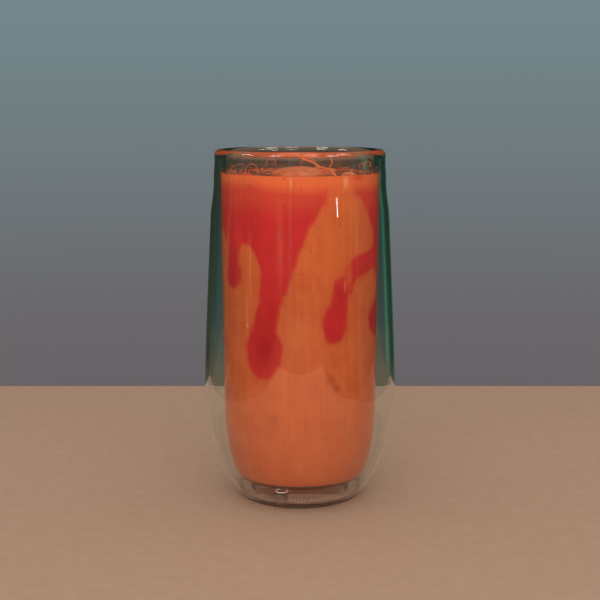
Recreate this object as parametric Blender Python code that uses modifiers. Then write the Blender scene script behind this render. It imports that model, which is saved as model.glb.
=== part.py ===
"""Strawberry smoothie in a double-walled glass tumbler.

Metres, +Z up. The origin is the middle of the ring that the glass stands on, and the
photographed side faces -Y. An azimuth is counted in degrees from -Y towards +X.
"""

import math

import bmesh
import bpy

# The outer wall of the glass: a round heel, a belly, a slow taper and a narrow collar
GLASS_HEIGHT = 0.1510
STAND_RADIUS = 0.0260
STAND_WIDTH = 0.0035
UNDERSIDE_RISE = 0.0012
BELLY_RADIUS = 0.0417
BELLY_HEIGHT = 0.0450
HEEL_FULLNESS = 2.2
HEEL_ROUNDNESS = 1.17
TAPER_START = 0.0500
TAPER_END = 0.1250
TAPER_DROP = 0.0035
TAPER_POWER = 1.15
TAPER_LIMIT = 1.1
COLLAR_RADIUS = 0.0368
SHOULDER_BOTTOM = 0.1230
SHOULDER_TOP = 0.1385
LEAN_TOP = 0.1465
RIM_RADIUS = 0.0364
OUTER_WALL = 0.0014
BASE_THICKNESS = 0.0024

# The inner vessel, which hangs from the rim and holds the drink
VESSEL_FLOOR = 0.0089
VESSEL_FLAT_RADIUS = 0.0258
VESSEL_RISE = 0.0320
VESSEL_FULLNESS = 1.7
VESSEL_ROUNDNESS = 2.35
VESSEL_LOW_RADIUS = 0.0332
VESSEL_HIGH_RADIUS = 0.0339
VESSEL_WALL = 0.0023

# The two walls are fused in one rounded rim, with a little solid glass under it
RIM_DEPTH = 0.0022
RIM_SOLID = 0.0010
HOLLOW_TOP = GLASS_HEIGHT - RIM_DEPTH - RIM_SOLID

# The vent in the outer base, with its clear silicone plug
VENT_X = -0.0079
VENT_Y = -0.0146
VENT_RADIUS = 0.0031
PLUG_RISE = 0.0005
PLUG_LENGTH = 0.0030
PLUG_CHAMFER = 0.0005

# The drink: smoothie, sauce on the wall round it, and a layer of froth on top
GAP = 0.0003
DRINK_LEVEL = 0.1410
FROTH_DEPTH = 0.0047
SAUCE_THICKNESS = 0.0025

# Froth mounds on the surface: x, y, half width, half depth, height
MOUNDS = [
    (0.0000, -0.0150, 0.0100, 0.0125, 0.0033),
    (-0.0215, -0.0165, 0.0030, 0.0028, 0.0022),
    (0.0195, -0.0185, 0.0028, 0.0026, 0.0014),
    (0.0080, 0.0140, 0.0090, 0.0075, 0.0016),
    (-0.0120, 0.0120, 0.0070, 0.0080, 0.0012),
]

# Runs of sauce round the back: azimuth and height of the tip of each. A bulb hangs from
# each neck, and a valley follows each run
BACK_RUNS = [
    (-108.0, 0.0840),
    (-137.0, 0.0640),
    (-166.0, 0.0930),
    (-194.0, 0.0720),
    (-224.0, 0.0870),
    (-251.0, 0.0990),
]
BULB_RISE = 0.0100
BULB_HALF_WIDTH = 9.5
NECK_HALF_WIDTH = 7.0
VALLEY_STEP = 14.0
VALLEY_HEIGHT = 0.1130

# How finely the shapes are divided
SEGMENTS = 48
SEGMENT_ANGLE = 360.0 / SEGMENTS
HEEL_STEPS = 8
TAPER_STEPS = 3
SHOULDER_STEPS = 4
LEAN_STEPS = 3
CORNER_STEPS = 7
RIM_STEPS = 6
PLUG_SEGMENTS = 24
MOUND_SEGMENTS = 16
MERGE = 0.00001
SMOOTH_ANGLE = 40.0

# A cutter runs this far past the face that it opens
OVERSHOOT = 0.0010


def swell(start, end, fullness, roundness, steps):
    """Points of a turned corner that leaves the floor outwards and ends upright."""
    points = []
    for step in range(1, steps + 1):
        share = (step / steps) ** 2
        spread = (1.0 - (1.0 - share) ** fullness) ** (1.0 / roundness)
        radius = start[0] + (end[0] - start[0]) * spread
        points.append((radius, start[1] + (end[1] - start[1]) * share))
    return points


def ease(low, high, value):
    """0 below low, 1 above high, and an even curve between."""
    share = min(max((value - low) / (high - low), 0.0), 1.0)
    return share * share * (3.0 - 2.0 * share)


def outer_radius(height):
    """Radius of the outer wall above the belly: it narrows to a collar and leans to the rim."""
    share = max(0.0, (height - TAPER_START) / (TAPER_END - TAPER_START))
    radius = BELLY_RADIUS - TAPER_DROP * min(share, TAPER_LIMIT) ** TAPER_POWER
    radius += (COLLAR_RADIUS - radius) * ease(SHOULDER_BOTTOM, SHOULDER_TOP, height)
    return radius + (RIM_RADIUS - radius) * ease(SHOULDER_TOP, LEAN_TOP, height)


def outer_wall_line(top):
    """The outer wall from the heel up to a height, without the underside."""
    heel = (STAND_RADIUS, 0.0)
    belly = (BELLY_RADIUS, BELLY_HEIGHT)
    points = [heel] + swell(heel, belly, HEEL_FULLNESS, HEEL_ROUNDNESS, HEEL_STEPS)
    low = BELLY_HEIGHT
    for high, steps in (
        (SHOULDER_BOTTOM, TAPER_STEPS), (SHOULDER_TOP, SHOULDER_STEPS), (LEAN_TOP, LEAN_STEPS)
    ):
        for step in range(1, steps + 1):
            height = low + (high - low) * step / steps
            points.append((outer_radius(height), height))
        low = high
    points.append((RIM_RADIUS, top))
    return points


def vessel_radius(height):
    """Radius of the vessel's outside, which widens evenly above its rounded floor."""
    foot = VESSEL_FLOOR + VESSEL_RISE
    share = (height - foot) / (DRINK_LEVEL - foot)
    return VESSEL_LOW_RADIUS + (VESSEL_HIGH_RADIUS - VESSEL_LOW_RADIUS) * share


def vessel_line(top):
    """The outside of the vessel from the axis up to a height."""
    edge = (VESSEL_FLAT_RADIUS, VESSEL_FLOOR)
    side = (VESSEL_LOW_RADIUS, VESSEL_FLOOR + VESSEL_RISE)
    corner = swell(edge, side, VESSEL_FULLNESS, VESSEL_ROUNDNESS, CORNER_STEPS)
    return [(0.0, VESSEL_FLOOR), edge] + corner + [(vessel_radius(top), top)]


def inset(line, distance):
    """The line moved inwards by a distance, square to itself, as a wall's other face is."""
    moved = []
    for index, (radius, height) in enumerate(line):
        before = line[max(index - 1, 0)]
        after = line[min(index + 1, len(line) - 1)]
        along = (after[0] - before[0], after[1] - before[1])
        length = math.hypot(along[0], along[1])
        new_radius = max(0.0, radius - distance * along[1] / length)
        moved.append((new_radius, height + distance * along[0] / length))
    if line[0][0] == 0.0:
        moved[0] = (0.0, line[0][1] + distance)
    moved[-1] = (moved[-1][0], line[-1][1])
    return moved


def new_collection(name):
    collection = bpy.data.collections.new(name)
    bpy.context.scene.collection.children.link(collection)
    return collection


def new_object(name, mesh, collection, material=None):
    piece = bpy.data.objects.new(name, mesh)
    collection.objects.link(piece)
    if material:
        mesh.materials.append(material)
    return piece


def make_material(name, colour, roughness, transmission=0.0):
    material = bpy.data.materials.new(name)
    material.use_nodes = True
    shader = material.node_tree.nodes["Principled BSDF"]
    shader.inputs["Base Color"].default_value = (*colour, 1.0)
    shader.inputs["Roughness"].default_value = roughness
    shader.inputs["Metallic"].default_value = 0.0
    shader.inputs["Transmission Weight"].default_value = transmission
    material.diffuse_color = (*colour, 1.0)
    return material


def turned(name, line, collection, material=None):
    """A solid turned about Z. The line starts on the axis at the top and ends on it below."""
    mesh = bpy.data.meshes.new(name)
    bm = bmesh.new()
    points = [bm.verts.new((radius, 0.0, height)) for radius, height in line]
    for first, second in zip(points, points[1:]):
        bm.edges.new((first, second))
    bm.to_mesh(mesh)
    bm.free()
    piece = new_object(name, mesh, collection, material)
    screw = piece.modifiers.new("turn", "SCREW")
    screw.axis = "Z"
    screw.angle = math.radians(360.0)
    screw.steps = SEGMENTS
    screw.render_steps = SEGMENTS
    screw.use_merge_vertices = True
    screw.merge_threshold = MERGE
    screw.use_smooth_shade = True
    return piece


def as_cutter(piece):
    piece.hide_render = True
    piece.display_type = "WIRE"
    return piece


def boolean(piece, other, operation):
    step = piece.modifiers.new(operation.lower() + "_" + other.name, "BOOLEAN")
    step.operation = operation
    step.solver = "EXACT"
    step.object = other


def rim_line(outer, inner):
    """The rounded rim, from the inner face up and over to the outer face."""
    middle = (outer + inner) / 2.0
    half = (outer - inner) / 2.0
    foot = GLASS_HEIGHT - RIM_DEPTH
    points = []
    for step in range(RIM_STEPS + 1):
        angle = math.pi * (1.0 - step / RIM_STEPS)
        points.append((middle + half * math.cos(angle), foot + RIM_DEPTH * math.sin(angle)))
    return points


def make_glass(collection, cutters, material):
    """Both walls as one turned solid, then the hollow between them and the vent."""
    rim_foot = GLASS_HEIGHT - RIM_DEPTH
    inner_face = inset(vessel_line(rim_foot), VESSEL_WALL)
    outer_face = outer_wall_line(rim_foot)
    rim = rim_line(outer_face[-1][0], inner_face[-1][0])
    stand = [
        (STAND_RADIUS - STAND_WIDTH, 0.0),
        (STAND_RADIUS - STAND_WIDTH - UNDERSIDE_RISE, UNDERSIDE_RISE),
        (0.0, UNDERSIDE_RISE),
    ]
    line = inner_face[:-1] + rim + outer_face[-2::-1] + stand
    glass = turned("glass", line, collection, material)

    wall_face = inset(outer_wall_line(HOLLOW_TOP), OUTER_WALL)
    floor = UNDERSIDE_RISE + BASE_THICKNESS
    wall_face = [point for point in wall_face if point[1] > floor]
    floor_edge = (wall_face[0][0] - OUTER_WALL / 2.0, floor)
    hollow_line = vessel_line(HOLLOW_TOP) + wall_face[::-1] + [floor_edge, (0.0, floor)]
    hollow = as_cutter(turned("hollow_between_walls", hollow_line, cutters))
    boolean(glass, hollow, "DIFFERENCE")

    vent_top = VESSEL_FLOOR - OVERSHOOT
    vent = cylinder("vent_hole", VENT_RADIUS, -OVERSHOOT, vent_top, 0.0, cutters)
    boolean(glass, as_cutter(vent), "DIFFERENCE")
    return glass


def cylinder(name, radius, bottom, top, chamfer, collection, material=None):
    """An upright cylinder at the vent, with its edges chamfered where one is given."""
    bm = bmesh.new()
    bmesh.ops.create_cone(
        bm, cap_ends=True, segments=PLUG_SEGMENTS, radius1=radius, radius2=radius,
        depth=top - bottom,
    )
    if chamfer:
        ends = [edge for edge in bm.edges if abs(edge.verts[0].co.z - edge.verts[1].co.z) < MERGE]
        bmesh.ops.bevel(
            bm, geom=ends, offset=chamfer, segments=2, profile=0.5, affect="EDGES", material=-1
        )
    bmesh.ops.translate(bm, verts=bm.verts, vec=(VENT_X, VENT_Y, (top + bottom) / 2.0))
    mesh = bpy.data.meshes.new(name)
    bm.to_mesh(mesh)
    bm.free()
    mesh.shade_smooth()
    mesh.set_sharp_from_angle(angle=math.radians(SMOOTH_ANGLE))
    return new_object(name, mesh, collection, material)


def make_plug(collection, material):
    """The small clear plug that closes the vent, recessed so that it never touches the table."""
    bottom = UNDERSIDE_RISE + PLUG_RISE
    radius = VENT_RADIUS - GAP
    top = bottom + PLUG_LENGTH
    return cylinder("vent_plug", radius, bottom, top, PLUG_CHAMFER, collection, material)


def drip(neck, bulb, tip):
    """One run of sauce, from its right side round its tip to its left side.

    The neck and the bulb are given as azimuth, half width and height, and the tip as
    azimuth and height."""
    return [
        (neck[0] + neck[1], neck[2]),
        (bulb[0] + bulb[1], bulb[2]),
        tip,
        (bulb[0] - bulb[1], bulb[2]),
        (neck[0] - neck[1], neck[2]),
    ]


def sauce_outline():
    """The edge of the sauce, unrolled: azimuths in degrees, which run on past a full turn
    round the back, and heights in metres. It starts at the front end of the band and goes
    left."""
    top = DRINK_LEVEL - FROTH_DEPTH - GAP
    outline = [(24.0, top), (19.4, 0.1317), (11.0, 0.1245), (3.3, 0.1160), (-2.5, 0.1065)]
    outline += [(-7.5, 0.0970), (-13.5, 0.0890)]
    outline += drip((-26.2, 9.6, 0.0805), (-28.2, 15.2, 0.0690), (-28.5, 0.0567))
    outline += [(-32.5, 0.0890), (-30.0, 0.0985), (-32.5, 0.1070), (-44.5, 0.1130)]
    outline += drip((-58.0, 7.4, 0.1060), (-58.3, 9.6, 0.0985), (-58.3, 0.0936))
    outline += [(-68.5, 0.1125), (-78.0, 0.1180)]
    for azimuth, tip_height in BACK_RUNS:
        bulb_height = tip_height + BULB_RISE
        neck = (azimuth, NECK_HALF_WIDTH, (bulb_height + VALLEY_HEIGHT) / 2.0)
        outline += drip(neck, (azimuth, BULB_HALF_WIDTH, bulb_height), (azimuth, tip_height))
        outline.append((azimuth - VALLEY_STEP, VALLEY_HEIGHT))
    outline += drip((-279.0, 5.0, 0.0905), (-281.0, 18.0, 0.0800), (-280.0, 0.0720))
    outline += [(-288.5, 0.1010), (-301.8, 0.1005), (-312.4, 0.0986), (-318.8, 0.0940)]
    outline += drip((-329.8, 7.3, 0.0895), (-333.8, 9.9, 0.0805), (-333.5, 0.0722))
    outline += [(-335.5, 0.0955), (-333.0, 0.0995), (-326.5, 0.1010), (-323.0, 0.1040)]
    outline += [(-318.0, 0.1075), (-309.9, 0.1088), (-298.0, 0.1100), (-292.5, 0.1125)]
    outline += [(-293.0, 0.1160), (-298.5, 0.1215), (-304.0, 0.1260), (-310.2, 0.1310)]
    return outline + [(-317.0, 0.1340), (-320.5, top)]


def sauce_sheet(name, depths, grow, collection, material=None):
    """The sauce as a sheet of even thickness: its flat outline is filled, grown where it is
    to cut a pocket, and rolled onto the inside of the vessel."""
    reference = vessel_radius(DRINK_LEVEL / 2.0) - VESSEL_WALL
    per_degree = math.radians(1.0) * reference
    outline = sauce_outline()

    curve = bpy.data.curves.new(name + "_outline", "CURVE")
    curve.dimensions = "2D"
    curve.fill_mode = "BOTH"
    curve.extrude = (depths[1] - depths[0]) / 2.0
    curve.resolution_u = 2
    spline = curve.splines.new("BEZIER")
    spline.bezier_points.add(len(outline) - 1)
    spline.use_cyclic_u = True
    for point, (azimuth, height) in zip(spline.bezier_points, outline):
        point.co = (azimuth * per_degree, height, 0.0)
        is_corner = (azimuth, height) in (outline[0], outline[-1])
        point.handle_left_type = "VECTOR" if is_corner else "AUTO"
        point.handle_right_type = "VECTOR" if is_corner else "AUTO"
    flat = bpy.data.objects.new(name + "_flat", curve)
    collection.objects.link(flat)
    evaluated = flat.evaluated_get(bpy.context.evaluated_depsgraph_get())
    mesh = bpy.data.meshes.new_from_object(evaluated)
    bpy.data.objects.remove(flat)
    bpy.data.curves.remove(curve)
    mesh.name = name
    mesh.materials.clear()

    bm = bmesh.new()
    bm.from_mesh(mesh)
    bmesh.ops.remove_doubles(bm, verts=bm.verts, dist=MERGE)
    bmesh.ops.recalc_face_normals(bm, faces=bm.faces)
    if grow:
        bm.normal_update()
        diagonal = grow * math.sqrt(2.0)
        places = [vert.co + vert.normal * diagonal for vert in bm.verts]
        for vert, place in zip(bm.verts, places):
            vert.co = place
    bmesh.ops.triangulate(bm, faces=bm.faces)
    for step in range(-SEGMENTS, SEGMENTS):
        place = (step * SEGMENT_ANGLE * per_degree, 0.0, 0.0)
        everything = bm.verts[:] + bm.edges[:] + bm.faces[:]
        bmesh.ops.bisect_plane(bm, geom=everything, dist=MERGE, plane_co=place, plane_no=(1, 0, 0))
    middle = (depths[0] + depths[1]) / 2.0
    for vert in bm.verts:
        across, height, outwards = vert.co
        angle = across / reference
        radius = vessel_radius(height) - VESSEL_WALL - middle + outwards
        vert.co = (radius * math.sin(angle), -radius * math.cos(angle), height)
    bmesh.ops.recalc_face_normals(bm, faces=bm.faces)
    if bm.calc_volume(signed=True) < 0.0:
        bmesh.ops.reverse_faces(bm, faces=bm.faces)
    bm.to_mesh(mesh)
    bm.free()
    mesh.shade_smooth()
    mesh.set_sharp_from_angle(angle=math.radians(SMOOTH_ANGLE))
    return new_object(name, mesh, collection, material)


def make_sauce(collection, material):
    depths = (GAP, GAP + SAUCE_THICKNESS)
    return sauce_sheet("strawberry_sauce", depths, 0.0, collection, material)


def drink_line(bottom_is_floor, bottom, top):
    """The side of the drink between two heights, just inside the vessel."""
    side = inset(vessel_line(top), VESSEL_WALL + GAP)
    if bottom_is_floor:
        return [(0.0, top)] + side[::-1]
    radius = vessel_radius(bottom) - VESSEL_WALL - GAP
    return [(0.0, top), side[-1], (radius, bottom), (0.0, bottom)]


def make_smoothie(collection, cutters, material):
    """The body of the drink, with a shallow pocket all along the sauce."""
    top = DRINK_LEVEL - FROTH_DEPTH - GAP
    smoothie = turned("smoothie", drink_line(True, 0.0, top), collection, material)
    depths = (-GAP, GAP + SAUCE_THICKNESS)
    pocket = sauce_sheet("sauce_pocket", depths, GAP, cutters)
    boolean(smoothie, as_cutter(pocket), "DIFFERENCE")
    return smoothie


def make_froth(collection, cutters, material):
    """The aerated top layer, with low mounds of bubbles on it."""
    line = drink_line(False, DRINK_LEVEL - FROTH_DEPTH, DRINK_LEVEL)
    froth = turned("froth", line, collection, material)
    for number, (x, y, half_width, half_depth, height) in enumerate(MOUNDS):
        bm = bmesh.new()
        bmesh.ops.create_uvsphere(
            bm, u_segments=MOUND_SEGMENTS, v_segments=MOUND_SEGMENTS // 2, radius=1.0
        )
        bmesh.ops.scale(bm, verts=bm.verts, vec=(half_width, half_depth, height))
        bmesh.ops.translate(bm, verts=bm.verts, vec=(x, y, DRINK_LEVEL))
        name = "mound_" + str(number + 1)
        mesh = bpy.data.meshes.new(name)
        bm.to_mesh(mesh)
        bm.free()
        boolean(froth, as_cutter(new_object(name, mesh, cutters)), "UNION")
    return froth


def main():
    for old in list(bpy.data.objects):
        bpy.data.objects.remove(old)
    parts = new_collection("strawberry_smoothie")
    cutters = new_collection("cutters")

    glass = make_material("borosilicate glass", (0.80, 0.86, 0.83), 0.03, 1.0)
    silicone = make_material("clear silicone", (0.72, 0.68, 0.62), 0.45, 0.6)
    smoothie = make_material("strawberry and orange smoothie", (0.40, 0.10, 0.035), 0.45)
    sauce = make_material("strawberry sauce", (0.38, 0.026, 0.020), 0.30)
    froth = make_material("smoothie froth", (0.60, 0.13, 0.045), 0.55)

    make_glass(parts, cutters, glass)
    make_plug(parts, silicone)
    make_smoothie(parts, cutters, smoothie)
    make_sauce(parts, sauce)
    make_froth(parts, cutters, froth)


main()
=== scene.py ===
# %% [markdown]
# # A strawberry smoothie in a double-walled glass
# The drink fills the inner vessel of a glass whose two walls are fused at the rim. Between
# the walls is still air, and strawberry sauce has run down between the smoothie and the
# vessel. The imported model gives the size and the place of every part. This lesson dresses
# it: it replaces each plain solid with a fine mesh, and gives each material its finish.

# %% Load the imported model
import math
import random

import bmesh
import bpy
import numpy
from mathutils import Matrix, Vector, noise


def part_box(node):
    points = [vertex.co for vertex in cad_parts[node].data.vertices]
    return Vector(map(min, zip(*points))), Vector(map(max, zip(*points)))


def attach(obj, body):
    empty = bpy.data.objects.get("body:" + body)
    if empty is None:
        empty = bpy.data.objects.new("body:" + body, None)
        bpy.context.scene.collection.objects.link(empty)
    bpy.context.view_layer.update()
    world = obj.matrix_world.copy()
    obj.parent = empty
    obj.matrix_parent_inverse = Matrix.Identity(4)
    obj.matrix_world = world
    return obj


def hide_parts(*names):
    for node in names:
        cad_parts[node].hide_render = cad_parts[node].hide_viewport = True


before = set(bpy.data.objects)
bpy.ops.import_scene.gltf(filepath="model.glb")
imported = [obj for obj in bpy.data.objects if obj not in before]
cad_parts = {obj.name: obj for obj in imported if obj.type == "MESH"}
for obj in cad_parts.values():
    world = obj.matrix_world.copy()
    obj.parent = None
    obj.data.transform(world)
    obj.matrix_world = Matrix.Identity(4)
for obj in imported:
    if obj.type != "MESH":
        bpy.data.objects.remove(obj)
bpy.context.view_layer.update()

# %% [markdown]
# Sizes are in metres. The height and the width of the glass and the top of the smoothie are
# read from the frame. The curves of the two walls repeat the values that the solids were
# made from, so that the fine meshes lie on the same surfaces.

# %% Sizes of the glass
MILLIMETRE = 0.001
GLASS_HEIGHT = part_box("glass")[1].z
STAND_RADIUS = 0.0260
STAND_WIDTH = 0.0035
UNDERSIDE_RISE = 0.0012
BELLY_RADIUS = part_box("glass")[1].x
BELLY_HEIGHT = 0.0450
HEEL_FULLNESS = 2.2
HEEL_ROUNDNESS = 1.17
TAPER_START = 0.0500
TAPER_END = 0.1250
TAPER_DROP = 0.0035
TAPER_POWER = 1.15
TAPER_LIMIT = 1.1
COLLAR_RADIUS = 0.0368
SHOULDER_BOTTOM = 0.1230
SHOULDER_TOP = 0.1385
LEAN_TOP = 0.1465
RIM_RADIUS = 0.0364
OUTER_WALL = 0.0014
BASE_THICKNESS = 0.0024
RIM_DEPTH = 0.0022
RIM_FOOT = GLASS_HEIGHT - RIM_DEPTH
HOLLOW_TOP = RIM_FOOT - 1.0 * MILLIMETRE
print("glass:", GLASS_HEIGHT, "high,", 2.0 * BELLY_RADIUS, "wide")

# %% Sizes of the inner vessel and the drink
VESSEL_FLOOR = 0.0089
VESSEL_FLAT_RADIUS = 0.0258
VESSEL_RISE = 0.0320
BOWL_TOP = VESSEL_FLOOR + VESSEL_RISE
VESSEL_FULLNESS = 1.7
VESSEL_ROUNDNESS = 2.35
VESSEL_LOW_RADIUS = 0.0332
VESSEL_HIGH_RADIUS = 0.0339
VESSEL_WALL = 0.0023
DRINK_LEVEL = 0.1410
DRINK_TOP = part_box("smoothie")[1].z
# The drink reaches this far into the wall, so that no film of air shows between them
REACH = 0.2 * MILLIMETRE
print("drink level:", DRINK_LEVEL, "smoothie up to", round(DRINK_TOP, 5))

# %% [markdown]
# A few small helpers are used all through. One turns a hex colour, as a colour picker shows
# it, into the linear values that light adds up in. One turns a real pattern size into a
# texture's scale. One adds a shader node, sets what it is given and links what is a socket,
# or a node by its first output. And one makes the plainest finish here, a colour mottled by
# noise of one size.

# %% Helpers for materials
def linear(code):
    """An sRGB hex colour as linear red, green, blue and alpha."""
    channels = [int(code[start:start + 2], 16) / 255.0 for start in (1, 3, 5)]
    straight = [c / 12.92 if c <= 0.04045 else ((c + 0.055) / 1.055) ** 2.4 for c in channels]
    return (*straight, 1.0)


def scale_for(millimetres):
    """The texture scale that makes a pattern's features this large."""
    return 1.0 / (millimetres * MILLIMETRE)


def add_node(tree, kind, inputs=None, **settings):
    """Add a node with its settings. An input is given a value, a socket, or a node to link."""
    node = tree.nodes.new("ShaderNode" + kind)
    for name, value in settings.items():
        setattr(node, name, value)
    for name, value in (inputs or {}).items():
        if isinstance(value, bpy.types.Node):
            value = value.outputs[0]
        if isinstance(value, bpy.types.NodeSocket):
            tree.links.new(value, node.inputs[name])
        else:
            node.inputs[name].default_value = value
    return node


def new_material(name):
    """An empty node material, returned with its tree."""
    material = bpy.data.materials.new(name)
    material.use_nodes = True
    material.node_tree.nodes.clear()
    return material, material.node_tree


def set_ramp(node, stops):
    """Give a Color Ramp its stops, each a position and a hex colour."""
    elements = node.color_ramp.elements
    while len(elements) < len(stops):
        elements.new(0.5)
    for element, (position, code) in zip(elements, stops):
        element.position = position
        element.color = linear(code)


def mottled_material(name, millimetres, stops, finish, detail=2.0):
    """A material whose colour is mottled by noise, with the other values of its finish."""
    material, tree = new_material(name)
    place = add_node(tree, "TexCoord").outputs["Object"]
    patches = add_node(tree, "TexNoise", {
        "Vector": place, "Scale": scale_for(millimetres), "Detail": detail,
    })
    tone = add_node(tree, "ValToRGB", {"Fac": patches})
    set_ramp(tone, stops)
    shader = add_node(tree, "BsdfPrincipled", {"Base Color": tone, **finish})
    add_node(tree, "OutputMaterial", {"Surface": shader})
    return material


print("helpers ready, 1 mm pattern has scale", scale_for(1.0))

# %% [markdown]
# A turned shape is a line of points that is spun about the Z axis. One spin all the way
# round grows slow, because each step works on the whole mesh, so one sector is spun and its
# copies are turned round. That leaves seams and a heap of points at each pole, so the
# doubles are merged, and then the normals are recalculated, because a spin can come out
# inside out.

# %% Helpers for meshes
MERGE = 1e-6
SECTORS = 16
SHARP_ANGLE = math.radians(50.0)


def turned(line, steps):
    """Spin a line of (radius, height) points about Z, and close its seams and poles."""
    bm = bmesh.new()
    points = [bm.verts.new((radius, 0.0, height)) for radius, height in line]
    for first, second in zip(points, points[1:]):
        bm.edges.new((first, second))
    angle = math.tau / SECTORS
    bmesh.ops.spin(
        bm, geom=bm.verts[:] + bm.edges[:], cent=(0, 0, 0), axis=(0, 0, 1),
        angle=angle, steps=steps // SECTORS,
    )
    sector = bm.verts[:] + bm.edges[:] + bm.faces[:]
    for number in range(1, SECTORS):
        copied = bmesh.ops.duplicate(bm, geom=sector)["geom"]
        verts = [item for item in copied if isinstance(item, bmesh.types.BMVert)]
        bmesh.ops.rotate(bm, verts=verts, matrix=Matrix.Rotation(angle * number, 3, "Z"))
    bmesh.ops.remove_doubles(bm, verts=bm.verts, dist=MERGE)
    bmesh.ops.recalc_face_normals(bm, faces=bm.faces)
    return bm


def as_mesh(name, bm):
    """The bmesh as mesh data."""
    mesh = bpy.data.meshes.new(name)
    bm.to_mesh(mesh)
    bm.free()
    return mesh


def add_object(name, data):
    """A new object in the scene, for a mesh, a curve, a lamp or a camera."""
    holder = bpy.data.objects.new(name, data)
    bpy.context.scene.collection.objects.link(holder)
    return holder


def new_piece(name, bm, material, replaced=None):
    """Make a finished piece from a bmesh: it rides on the root body at the origin."""
    mesh = as_mesh(name, bm)
    mesh.materials.append(material)
    mesh.shade_smooth()
    mesh.set_sharp_from_angle(angle=SHARP_ANGLE)
    piece = add_object(name, mesh)
    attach(piece, "root")
    if replaced:
        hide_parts(replaced)
    print(name, "has", sum(len(face.vertices) - 2 for face in mesh.polygons), "triangles")
    return piece


def smooth_step(low, high, value):
    """0 below low, 1 above high, and an even curve between, for a number or an array."""
    share = numpy.clip((value - low) / (high - low), 0.0, 1.0)
    return share * share * (3.0 - 2.0 * share)


def evenly(low, high, steps):
    """Values in even steps from low to high, both ends among them."""
    return [low + (high - low) * step / steps for step in range(steps + 1)]


# %% [markdown]
# ## The glass
# A double-walled glass is blown from borosilicate as two vessels, one in the other, which
# are fused at the rim. It could be made as two shells with Solidify, but the walls meet in
# one rounded rim. So one closed line is spun for the whole outside, and a second closed
# line for the still air between the walls, which is turned inside out.

# %% Curves of the two walls
# A wall's last row lies close under its top, so that smooth shading does not bend the light
# that crosses the wall below a rounded rim
STRAIGHT = 0.3 * MILLIMETRE


def swell(start, end, fullness, roundness, steps):
    """Points of a turned corner that leaves the floor outwards and ends upright."""
    points = []
    for step in range(1, steps + 1):
        share = (step / steps) ** 2
        spread = (1.0 - (1.0 - share) ** fullness) ** (1.0 / roundness)
        radius = start[0] + (end[0] - start[0]) * spread
        points.append((radius, start[1] + (end[1] - start[1]) * share))
    return points


def outer_radius(height):
    """Radius of the outer wall above the belly: it narrows to a collar and leans to the rim."""
    share = max(0.0, (height - TAPER_START) / (TAPER_END - TAPER_START))
    radius = BELLY_RADIUS - TAPER_DROP * min(share, TAPER_LIMIT) ** TAPER_POWER
    radius += (COLLAR_RADIUS - radius) * float(smooth_step(SHOULDER_BOTTOM, SHOULDER_TOP, height))
    return radius + (RIM_RADIUS - radius) * float(smooth_step(SHOULDER_TOP, LEAN_TOP, height))


def vessel_radius(height):
    """Radius of the vessel's outside above its rounded floor."""
    share = (height - BOWL_TOP) / (DRINK_LEVEL - BOWL_TOP)
    return VESSEL_LOW_RADIUS + (VESSEL_HIGH_RADIUS - VESSEL_LOW_RADIUS) * share


def outer_wall_line(top):
    """The outer wall from the heel up to a height."""
    heel = (STAND_RADIUS, 0.0)
    points = [heel] + swell(heel, (BELLY_RADIUS, BELLY_HEIGHT), HEEL_FULLNESS, HEEL_ROUNDNESS, 34)
    points += [(outer_radius(height), height) for height in evenly(BELLY_HEIGHT, LEAN_TOP, 44)[1:]]
    return points + [(RIM_RADIUS, top - STRAIGHT), (RIM_RADIUS, top)]


def vessel_line(top, rows=12):
    """The outside of the vessel from the axis up to a height."""
    edge = (VESSEL_FLAT_RADIUS, VESSEL_FLOOR)
    side = (VESSEL_LOW_RADIUS, BOWL_TOP)
    floor = [(0.0, VESSEL_FLOOR), (VESSEL_FLAT_RADIUS * 0.7, VESSEL_FLOOR), edge]
    heights = evenly(BOWL_TOP, top, rows)[1:]
    heights.insert(-1, top - STRAIGHT)
    wall = [(vessel_radius(height), height) for height in heights]
    return floor + swell(edge, side, VESSEL_FULLNESS, VESSEL_ROUNDNESS, 30) + wall


def inset(line, distance):
    """The line moved inwards, square to itself, as a wall's other face is."""
    moved = []
    for index, (radius, height) in enumerate(line):
        before = line[max(index - 1, 0)]
        after = line[min(index + 1, len(line) - 1)]
        along = (after[0] - before[0], after[1] - before[1])
        length = math.hypot(along[0], along[1])
        new_radius = max(0.0, radius - distance * along[1] / length)
        moved.append((new_radius, height + distance * along[0] / length))
    if line[0][0] == 0.0:
        moved[0] = (0.0, line[0][1] + distance)
    moved[-1] = (moved[-1][0], line[-1][1])
    return moved


def inner_radius(height):
    """Radius of the vessel's inside above its rounded floor."""
    return vessel_radius(height) - VESSEL_WALL


print("inner radius at the drink's level:", round(inner_radius(DRINK_LEVEL), 5))

# %% Spin the glass
# Each ridge of the pressed ring under the heel takes four segments of the spin
RIDGES = 96
GLASS_STEPS = RIDGES * 4
RIDGE_DEPTH = 0.45 * MILLIMETRE
RIDGE_TOP = 5.0 * MILLIMETRE
# The radii between which the ridges grow to their full depth, and between which they fade
RIDGE_GROWS = (0.0222, 0.0235)
RIDGE_FADES = (0.0275, 0.0310)


def rim_line(outer, inner, steps=14):
    """The rounded rim, from the inner face up and over to the outer face."""
    middle = (outer + inner) / 2.0
    half = (outer - inner) / 2.0
    points = []
    for step in range(steps + 1):
        angle = math.pi * (1.0 - step / steps)
        points.append((middle + half * math.cos(angle), RIM_FOOT + RIM_DEPTH * math.sin(angle)))
    return points


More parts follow.
